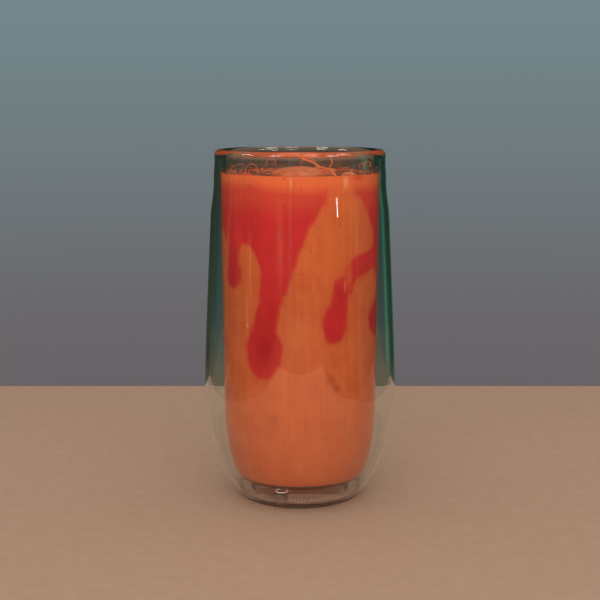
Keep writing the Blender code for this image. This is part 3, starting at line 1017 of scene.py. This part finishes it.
# Seed coats are hard and brown, and a little darker from seed to seed
seed_coat = mottled_material(
    "strawberry seed coat", 5.0, [(0.35, "#6E1C1C"), (0.65, "#9A3A24")],
    {"Roughness": 0.5, "Specular IOR Level": 0.1},
)
new_piece("strawberry_seeds", seed_mesh(), seed_coat)

# %% [markdown]
# ## The froth
# Blending beats air into the drink, and it rises as a layer of froth with low mounds on it.
# The layer is a fine spun disc. Its vertices are lifted into the mounds, and into the
# meniscus that climbs the glass, with a little noise for the uneven foam. Between the
# mounds the drink is liquid, smooth and wet, and mirrors the wall behind it.

# %% Froth
# Mounds: x, y, half width, half depth, height
MOUNDS = [
    (-0.0005, -0.0160, 0.0103, 0.0143, 0.0035), (-0.0215, -0.0165, 0.0030, 0.0028, 0.0010),
    (0.0195, -0.0185, 0.0028, 0.0026, 0.0014), (0.0080, 0.0140, 0.0090, 0.0075, 0.0016),
    (-0.0120, 0.0120, 0.0070, 0.0080, 0.0005),
]
MENISCUS_HEIGHT = 0.3 * MILLIMETRE
MENISCUS_WIDTH = 1.3 * MILLIMETRE
# Noise in the mounds' outlines: size of its features in millimetres, and how strong it is
OUTLINE_NOISE = [(5.0, 0.30), (1.8, 0.08)]
# Noise in the froth's surface: where it is read, and the size of its features and its height
# in millimetres
SURFACE_NOISE = [(0.0, 2.2, 0.02), (3.0, 9.0, 0.10)]
FROTH_GAP = 0.02 * MILLIMETRE
# A mound is all foam where it stands this high
FOAM_HEIGHT = 0.8 * MILLIMETRE


def froth_line():
    rim = inner_radius(DRINK_LEVEL) + REACH
    bottom = DRINK_TOP + FROTH_GAP
    top = [(radius, DRINK_LEVEL) for radius in evenly(0.0, rim, 96)[:-1]]
    side = drink_side(bottom, DRINK_LEVEL, 8)[::-1]
    return top + side + [(0.0, bottom)]


def mound_height(x, y):
    """Height of the mounds over the level at a place. Noise makes their outlines uneven."""
    tallest = 0.0
    uneven = 1.0
    for size, strength in OUTLINE_NOISE:
        uneven += strength * noise.noise(Vector((x, y, 0.0)) / (size * MILLIMETRE))
    for mound_x, mound_y, half_width, half_depth, height in MOUNDS:
        square = ((x - mound_x) / half_width) ** 2 + ((y - mound_y) / half_depth) ** 2
        square *= uneven
        if square < 1.0:
            tallest = max(tallest, height * math.sqrt(1.0 - square))
    return tallest


def raise_froth(bm):
    wall = inner_radius(DRINK_LEVEL)
    for vert in bm.verts:
        if vert.co.z < DRINK_LEVEL - 1e-5:
            continue
        x, y, _ = vert.co
        radius = math.hypot(x, y)
        climb = max(0.0, 1.0 - (wall - min(radius, wall)) / MENISCUS_WIDTH)
        uneven = 0.0
        for level, size, height in SURFACE_NOISE:
            uneven += noise.noise(Vector((x, y, level)) / (size * MILLIMETRE)) * height * MILLIMETRE
        vert.co.z += mound_height(x, y) + MENISCUS_HEIGHT * climb ** 2 + uneven


def write_mounds(piece):
    """Write where the froth stands in a mound, which is foam and not liquid."""
    heights = [mound_height(vert.co.x, vert.co.y) for vert in piece.data.vertices]
    write_attribute(piece.data, "mound", [min(1.0, height / FOAM_HEIGHT) for height in heights])


def froth_finish():
    """Foam of fine bubbles on the mounds, and smooth wet liquid between them."""
    material, tree = new_material("beaten smoothie froth")
    place = add_node(tree, "TexCoord").outputs["Object"]
    mound = add_node(tree, "Attribute", attribute_name="mound").outputs["Fac"]
    cells = add_node(tree, "TexVoronoi", {"Vector": place, "Scale": scale_for(0.9)})
    swirl = add_node(tree, "TexNoise", {
        "Vector": place, "Scale": scale_for(14.0), "Detail": 4.0, "Distortion": 1.6,
    })
    tone = add_node(tree, "ValToRGB", {"Fac": swirl})
    set_ramp(tone, [(0.30, "#C9522F"), (0.45, "#D0603A"), (0.62, "#D46B42"), (0.78, "#D97850")])
    side = drink_colour(tree)
    geometry = add_node(tree, "NewGeometry")
    up = add_node(tree, "SeparateXYZ", {0: geometry.outputs["Normal"]})
    top_share = add_node(tree, "MapRange", {"Value": up.outputs["Z"], "From Min": 0.1, "From Max": 0.4})
    foamy = add_node(tree, "MapRange", {"Value": mound, "To Min": 1.0, "To Max": 1.35})
    top = add_node(tree, "HueSaturation", {"Value": foamy, "Color": tone})
    colour = add_node(tree, "Mix", {0: top_share, 6: side, 7: top}, data_type="RGBA")
    roughness = add_node(tree, "MapRange", {"Value": mound, "To Min": 0.06, "To Max": 0.55})
    foam = add_node(tree, "Math", {0: mound, 1: cells}, operation="MULTIPLY")
    relief = add_node(tree, "Bump", {
        "Height": foam, "Strength": 0.35, "Distance": 0.15 * MILLIMETRE,
    })
    shader = add_node(tree, "BsdfPrincipled", {
        "Base Color": colour.outputs[2], "Roughness": roughness, "IOR": 1.36,
        "Normal": relief,
    })
    add_node(tree, "OutputMaterial", {"Surface": shader})
    return material


froth_material = froth_finish()
froth_mesh = turned(froth_line(), DRINK_STEPS)
raise_froth(froth_mesh)
froth = new_piece("froth_layer", froth_mesh, froth_material, "froth")
write_guides(froth)
write_mounds(froth)

# %% [markdown]
# Bubbles gather where the froth meets the wall, most of them opaque with foam. They are
# small icospheres, half sunk in the surface. A few large ones are only a skin of liquid
# over air, so each of those is a thin shell: an icosphere with a smaller one inside it,
# turned inside out.

# %% Bubbles
SMALL_BUBBLES = 60
SMALL_SIZES = (0.20, 0.62)
# Distance of a small bubble from the wall in its own sizes: most lie near, one in four far
NEAR_WALL = (0.6, 1.4)
FAR_FROM_WALL = (2.0, 14.0)
# Large bubbles: azimuth, distance from the wall and radius, the last two in millimetres
LARGE_BUBBLES = [
    (-55.0, 1.6, 1.6), (-46.5, 2.2, 2.1), (-39.0, 1.5, 1.5), (-24.5, 1.9, 1.8), (-18.0, 1.3, 1.2),
    (48.0, 1.4, 1.4), (63.0, 1.6, 1.5), (141.0, 1.9, 1.8), (-128.0, 2.1, 2.0),
]
SKIN = 0.06 * MILLIMETRE


def small_bubbles():
    bm = bmesh.new()
    wall = inner_radius(DRINK_LEVEL)
    for number in range(SMALL_BUBBLES):
        size = draw.uniform(*SMALL_SIZES) * MILLIMETRE
        reach = draw.uniform(*(NEAR_WALL if number % 4 else FAR_FROM_WALL))
        radius = wall - reach * size
        spot = wall_frame(draw.uniform(-180.0, 180.0), radius, 0.0).translation
        climb = MENISCUS_HEIGHT * max(0.0, 1.0 - reach * size / MENISCUS_WIDTH) ** 2
        spot.z = DRINK_LEVEL + mound_height(spot.x, spot.y) + climb + 0.1 * size
        bmesh.ops.create_icosphere(bm, subdivisions=2, radius=size, matrix=Matrix.Translation(spot))
    return bm


def large_bubbles():
    bm = bmesh.new()
    for azimuth, reach, size in LARGE_BUBBLES:
        radius = inner_radius(DRINK_LEVEL) - reach * MILLIMETRE
        spot = wall_frame(azimuth, radius, DRINK_LEVEL + 0.25 * size * MILLIMETRE)
        outside = size * MILLIMETRE
        bmesh.ops.create_icosphere(bm, subdivisions=3, radius=outside, matrix=spot)
        inside = bmesh.ops.create_icosphere(bm, subdivisions=3, radius=outside - SKIN, matrix=spot)
        faces = {face for vert in inside["verts"] for face in vert.link_faces}
        bmesh.ops.reverse_faces(bm, faces=list(faces))
    return bm


def skin_finish():
    """A skin of watery juice, clear, with the IOR of sugared water."""
    material, tree = new_material("clear skin of a bubble")
    shader = add_node(tree, "BsdfPrincipled", {
        "Base Color": linear("#FFE9DC"), "Roughness": 0.0, "IOR": 1.34, "Transmission Weight": 1.0,
    })
    clear = add_node(tree, "BsdfTransparent", {"Color": linear("#FFF4EC")})
    surface = let_light_pass(tree, shader, clear)
    add_node(tree, "OutputMaterial", {"Surface": surface})
    return material


wet_foam = mottled_material(
    "wet smoothie foam", 2.5, [(0.35, "#CC5630"), (0.65, "#DC7A50")],
    {"Roughness": 0.12, "IOR": 1.36},
)
new_piece("foam_bubbles", small_bubbles(), wet_foam)
new_piece("clear_bubbles", large_bubbles(), skin_finish())

# %% [markdown]
# The drink stood higher while it was poured, and what was left on the wall has half dried.
# The film is a thin turned sleeve whose alpha is patchy and thicker just over the liquid. Under the rim
# its alpha rises again into a band that is painted light: it stands for the drink's light led up the
# glass into the rim. Strands and arcs, where bubbles burst and drips ran, are swept on the wall: a
# small ring is extruded from place to place along a smooth path.

# %% Film on the wall
FILM_BOTTOM = DRINK_LEVEL + 0.3 * MILLIMETRE
FILM_TOP = RIM_FOOT - 0.2 * MILLIMETRE
FILM_GAP = 0.02 * MILLIMETRE
FILM_THICKNESS = 0.04 * MILLIMETRE


def film_line():
    heights = evenly(FILM_BOTTOM, FILM_TOP, 14)
    outer = [(inner_radius(height) - FILM_GAP, height) for height in heights]
    inner = [(radius - FILM_THICKNESS, height) for radius, height in outer[::-1]]
    return outer + inner + outer[:1]


def film_and_painted_rim_light():
    material, tree = new_material("half-dried film of smoothie")
    place = add_node(tree, "TexCoord").outputs["Object"]
    height = add_node(tree, "SeparateXYZ", {0: place}).outputs["Z"]
    low = add_node(tree, "MapRange", {
        "Value": height, "From Min": FILM_BOTTOM, "From Max": FILM_BOTTOM + 2.2 * MILLIMETRE,
        "To Min": 0.05, "To Max": 0.0,
    })
    # Painted light: the band under the rim stands for the drink's light led up the glass, not for a
    # thicker film
    high = add_node(tree, "MapRange", {
        "Value": height, "From Min": FILM_TOP - 1.2 * MILLIMETRE, "From Max": FILM_TOP,
        "To Min": 0.0, "To Max": 0.35,
    })
    patches = add_node(tree, "TexNoise", {
        "Vector": place, "Scale": scale_for(4.0), "Detail": 6.0, "Roughness": 0.65,
        "Distortion": 0.6,
    })
    thin = add_node(tree, "MapRange", {
        "Value": patches, "From Min": 0.50, "From Max": 0.74,
        "To Min": 0.03, "To Max": 0.24,
    })
    lower = add_node(tree, "Math", {0: thin, 1: low}, operation="ADD")
    alpha = add_node(tree, "Math", {0: lower, 1: high}, operation="ADD",
                     use_clamp=True)
    tone = add_node(tree, "ValToRGB", {"Fac": patches})
    set_ramp(tone, [(0.35, "#9A837C"), (0.58, "#A67A68"), (0.75, "#C8775C")])
    shader = add_node(tree, "BsdfPrincipled", {
        "Base Color": tone, "Roughness": 0.35, "IOR": 1.36,
        "Specular IOR Level": 0.2, "Alpha": alpha,
    })
    add_node(tree, "OutputMaterial", {"Surface": shader})
    return material


new_piece("smoothie_film_and_rim_light", turned(film_line(), DRINK_STEPS), film_and_painted_rim_light())

# %% Strands on the wall
# Places along each strand, azimuth and height, after its radius in millimetres
STRANDS = [
    (0.55, [(0.2, 0.14886), (4.6, 0.14786), (9.0, 0.14705), (14.2, 0.14503), (21.2, 0.14396),
            (23.6, 0.14265), (27.0, 0.1413)]),
    (0.12, [(51.8, 0.14444), (53.1, 0.14605), (57.3, 0.14677), (60.5, 0.14547), (58.9, 0.14427)]),
    (0.13, [(-42.0, 0.1418), (-42.0, 0.14344), (-39.9, 0.1455), (-35.1, 0.14598), (-31.5, 0.14443),
            (-31.5, 0.14182)]),
    (0.11, [(-53.6, 0.14481), (-49.8, 0.14571), (-44.0, 0.14583)]),
    (0.12, [(-66.5, 0.1415), (-65.1, 0.14287), (-61.3, 0.14339), (-59.7, 0.14261)]),
    (0.11, [(0.2, 0.14468), (1.7, 0.14786), (6.0, 0.14865), (10.5, 0.14747), (11.2, 0.14465)]),
    (0.15, [(31.0, 0.1441), (34.5, 0.1446), (38.6, 0.1442)]),
    (0.12, [(-20.5, 0.1416), (-17.8, 0.1432), (-14.2, 0.1436), (-12.4, 0.1424)]),
    (0.12, [(68.0, 0.1415), (69.8, 0.1434), (73.0, 0.1441), (76.0, 0.1430)]),
    (0.45, [(150.0, 0.1482), (153.0, 0.1460), (151.5, 0.1437), (155.0, 0.1414)]),
    (0.17, [(-160.0, 0.1417), (-158.0, 0.1446), (-152.0, 0.1451), (-149.5, 0.1420)]),
    (0.16, [(112.0, 0.1418), (114.0, 0.1440), (119.0, 0.1442), (121.0, 0.1416)]),
    (0.17, [(-112.0, 0.1416), (-109.0, 0.1437), (-104.0, 0.1432), (-101.5, 0.1415)]),
]
STRAND_SIDES = 6


def smooth_path(points, steps=5):
    """Places on a Catmull-Rom curve through the points, which passes each without a corner."""
    ends = [points[0]] + points + [points[-1]]
    path = []
    for number in range(len(points) - 1):
        before, start, end, after = (Vector(point) for point in ends[number:number + 4])
        for step in range(steps):
            share = step / steps
            path.append(0.5 * (
                2.0 * start + (end - before) * share
                + (2.0 * before - 5.0 * start + 4.0 * end - after) * share ** 2
                + (3.0 * start - before - 3.0 * end + after) * share ** 3
            ))
    return path + [Vector(points[-1])]


def strand_rings(points, radius):
    """A matrix for each ring along a strand: it faces along the strand and lies on the wall."""
    places = []
    for azimuth, height in smooth_path([Vector(point) for point in points]):
        places.append(wall_frame(azimuth, inner_radius(height) - 0.6 * radius, height))
    rings = []
    for index, place in enumerate(places):
        ahead = places[min(index + 1, len(places) - 1)].translation
        behind = places[max(index - 1, 0)].translation
        along = (ahead - behind).normalized()
        across = along.cross(place.to_3x3().col[0]).normalized()
        turn = Matrix((across.cross(along), across, along)).transposed().to_4x4()
        from_end = min(index, len(places) - 1 - index) / 3.0
        size = radius * (0.4 + 0.6 * min(1.0, from_end))
        rings.append(Matrix.Translation(place.translation) @ turn @ Matrix.Scale(size, 4))
    return rings


def add_strand(bm, rings):
    """Extrude a ring of edges from matrix to matrix, with a cap at both ends."""
    circle = bmesh.ops.create_circle(
        bm, cap_ends=True, segments=STRAND_SIDES, radius=1.0, matrix=rings[0]
    )
    edges = list({edge for vert in circle["verts"] for edge in vert.link_edges})
    for before, after in zip(rings, rings[1:]):
        made = bmesh.ops.extrude_edge_only(bm, edges=edges)["geom"]
        verts = [item for item in made if isinstance(item, bmesh.types.BMVert)]
        edges = [item for item in made if isinstance(item, bmesh.types.BMEdge)]
        edges = [edge for edge in edges if all(vert in verts for vert in edge.verts)]
        bmesh.ops.transform(bm, matrix=after @ before.inverted(), verts=verts)
    bmesh.ops.edgeloop_fill(bm, edges=edges)


strand_mesh = bmesh.new()
for thickness, points in STRANDS:
    add_strand(strand_mesh, strand_rings(points, thickness * MILLIMETRE))
bmesh.ops.recalc_face_normals(strand_mesh, faces=strand_mesh.faces)
new_piece("smoothie_strands", strand_mesh, wet_foam)

# %% [markdown]
# ## The setting
# The floor is a pale table whose back edge shows through the glass. The light is soft: one
# large lamp from the front and one overhead. Small lamps that only glass and liquid mirror
# stand for windows, and leave the sharp glints on the rim. The world has three parts. The
# camera sees a plain backdrop, the glass bends and mirrors a darker room of broad upright
# bands, and the drink gets a soft fill.

# %% Table
TABLE_WIDTH = 0.44
TABLE_FRONT = -0.46
TABLE_BACK = 0.195
TABLE_THICKNESS = 0.02
TABLE_CORNER = 0.03


def make_table():
    laminate = mottled_material(
        "pale matt laminate", 6.0, [(0.3, "#AE8F79"), (0.7, "#B3947E")],
        {"Roughness": 0.7, "Specular IOR Level": 0.2}, detail=4.0,
    )
    bm = bmesh.new()
    bmesh.ops.create_cube(bm, size=1.0)
    size = (TABLE_WIDTH, TABLE_BACK - TABLE_FRONT, TABLE_THICKNESS)
    bmesh.ops.scale(bm, verts=bm.verts, vec=size)
    upright = [edge for edge in bm.edges if abs(edge.verts[0].co.z - edge.verts[1].co.z) > 1e-4]
    bmesh.ops.bevel(
        bm, geom=upright, offset=TABLE_CORNER, offset_type="OFFSET", affect="EDGES", segments=10,
        profile=0.5, material=-1,
    )
    top = -TABLE_THICKNESS / 2.0 - 0.1 * MILLIMETRE
    bmesh.ops.translate(bm, verts=bm.verts, vec=(0.0, (TABLE_FRONT + TABLE_BACK) / 2.0, top))
    mesh = as_mesh("table", bm)
    mesh.materials.append(laminate)
    table = add_object("table", mesh)


make_table()
print("table back edge at", TABLE_BACK)

# %% Lights
def add_lamp(name, place, target, size, power, colour, mirrored):
    """A rectangular area lamp turned towards a target. It lights things, or is mirrored."""
    lamp = bpy.data.lights.new(name, "AREA")
    lamp.shape = "RECTANGLE"
    lamp.size, lamp.size_y = size
    lamp.energy = power
    lamp.color = linear(colour)[:3]
    holder = add_object(name, lamp)
    holder.location = place
    holder.rotation_euler = (Vector(target) - Vector(place)).to_track_quat("-Z", "Y").to_euler()
    holder.visible_camera = False
    holder.visible_diffuse = not mirrored
    holder.visible_glossy = mirrored
    holder.visible_transmission = mirrored


MIDDLE = (0.0, 0.0, 0.08)
add_lamp("overhead softbox", (0.0, -0.10, 0.80), MIDDLE, (0.7, 0.7), 1.2, "#FFF6EA", False)
add_lamp("front softbox", (0.0, -1.0, 0.25), MIDDLE, (2.2, 0.5), 11.3, "#FFF8F0", False)
add_lamp("side lamp", (0.73, -0.66, 0.325), MIDDLE, (0.015, 0.20), 0.34, "#FFFFFF", True)
# A trace of light soaks down through the drink and reddens what lies under it
SOAKED = (0.0, 0.0, VESSEL_FLOOR - 0.4 * MILLIMETRE)
add_lamp("light through the drink", SOAKED, (0.0, 0.0, 0.0), (0.036, 0.036), 0.0014, "#FF5A30", False)
RIM_CENTRE = Vector((0.0, 0.0, GLASS_HEIGHT))
WINDOW_DISTANCE = 0.9
# Windows: bearing from the camera's side, elevation
WINDOWS = [(-86.0, 40.0), (-37.0, 35.0), (15.0, 45.0), (48.0, 35.0), (80.0, 50.0)]
for bearing, elevation in WINDOWS:
    level = WINDOW_DISTANCE * math.cos(math.radians(elevation))
    rise = WINDOW_DISTANCE * math.sin(math.radians(elevation))
    turn = math.radians(bearing)
    place = RIM_CENTRE + Vector((level * math.sin(turn), -level * math.cos(turn), rise))
    add_lamp("window at " + str(int(bearing)), place, RIM_CENTRE, (0.24, 0.20), 1.8, "#FFFDF8", True)

# %% World
# Bands of the room: bearing in degrees in each quarter turn, and colour
ROOM = [
    (-45.0, "#29342C"), (-24.0, "#333A30"), (-16.0, "#333D2C"), (-13.0, "#2C3A2E"),
    (-10.5, "#394A4B"), (-8.5, "#3E504E"), (-5.5, "#463F39"), (5.5, "#4B403A"), (8.6, "#3F4848"),
    (10.6, "#374E4B"), (12.7, "#45957C"), (14.2, "#2E7A60"), (17.0, "#1F3B2D"), (25.0, "#253629"),
    (45.0, "#29342C"),
]


def make_world():
    world = bpy.data.worlds.new("studio")
    world.use_nodes = True
    tree = world.node_tree
    tree.nodes.clear()
    direction = add_node(tree, "TexCoord").outputs["Generated"]
    parts = add_node(tree, "SeparateXYZ", {0: direction})
    up = parts.outputs["Z"]
    height = add_node(tree, "MapRange", {"Value": up, "From Min": -0.45, "From Max": 0.15})
    backdrop = add_node(tree, "ValToRGB", {"Fac": height})
    set_ramp(backdrop, [(0.0, "#5E4B4F"), (0.47, "#6A686B"), (0.86, "#73878B")])
    angle = add_node(tree, "Math", {0: parts.outputs["X"], 1: parts.outputs["Y"]},
                     operation="ARCTAN2")
    quarter = add_node(tree, "Math", {0: angle, 1: math.pi / 4.0, 2: -math.pi / 4.0},
                       operation="WRAP")
    across = add_node(tree, "MapRange", {
        "Value": quarter, "From Min": -math.pi / 4.0, "From Max": math.pi / 4.0,
    })
    room = add_node(tree, "ValToRGB", {"Fac": across})
    set_ramp(room, [((bearing + 45.0) / 90.0, code) for bearing, code in ROOM])
    low = add_node(tree, "MapRange", {"Value": up, "From Min": -0.20, "From Max": -0.23})
    floor = add_node(tree, "Mix", {0: low, 6: room, 7: linear("#5A5446")}, data_type="RGBA")
    strength = add_node(tree, "MapRange", {
        "Value": up, "From Min": -0.17, "From Max": -0.08, "To Min": 1.0, "To Max": 0.75,
    })
    seen = add_node(tree, "Background", {"Color": backdrop})
    bent = add_node(tree, "Background", {"Color": floor.outputs[2], "Strength": strength})
    fill = add_node(tree, "Background", {"Color": linear("#DCD6D0"), "Strength": 0.9})
    path = add_node(tree, "LightPath")
    soft = add_node(tree, "MixShader", {0: path.outputs["Is Diffuse Ray"], 1: bent, 2: fill})
    final = add_node(tree, "MixShader", {0: path.outputs["Is Camera Ray"], 1: soft, 2: seen})
    add_node(tree, "OutputWorld", {"Surface": final})
    bpy.context.scene.world = world


make_world()
print("world:", bpy.context.scene.world.name)

# %% [markdown]
# The camera looks slightly down on the glass from half a metre away. Glass needs more
# bounces than other things, because each wall is crossed twice on the way in and out.

# %% Camera and light paths
CAMERA_PLACE = (0.0, -0.503, 0.170)
CAMERA_TILT = 9.5
CAMERA_LENS = 70.32


def make_camera():
    camera = bpy.data.cameras.new("camera")
    camera.lens = CAMERA_LENS
    camera.sensor_width = 36.0
    camera.sensor_fit = "HORIZONTAL"
    camera.clip_start = 0.01
    holder = add_object("camera", camera)
    holder.location = CAMERA_PLACE
    holder.rotation_euler = (math.radians(90.0 - CAMERA_TILT), 0.0, 0.0)
    bpy.context.scene.camera = holder


make_camera()
scene = bpy.context.scene
scene.view_settings.view_transform = "Standard"
scene.cycles.max_bounces = 32
scene.cycles.transmission_bounces = 32
scene.cycles.glossy_bounces = 16
scene.cycles.transparent_max_bounces = 32
scene.cycles.diffuse_bounces = 4
scene.cycles.caustics_reflective = False
scene.cycles.caustics_refractive = False
scene.cycles.sample_clamp_indirect = 6.0
scene.cycles.use_denoising = True
print("camera at", tuple(scene.camera.location))
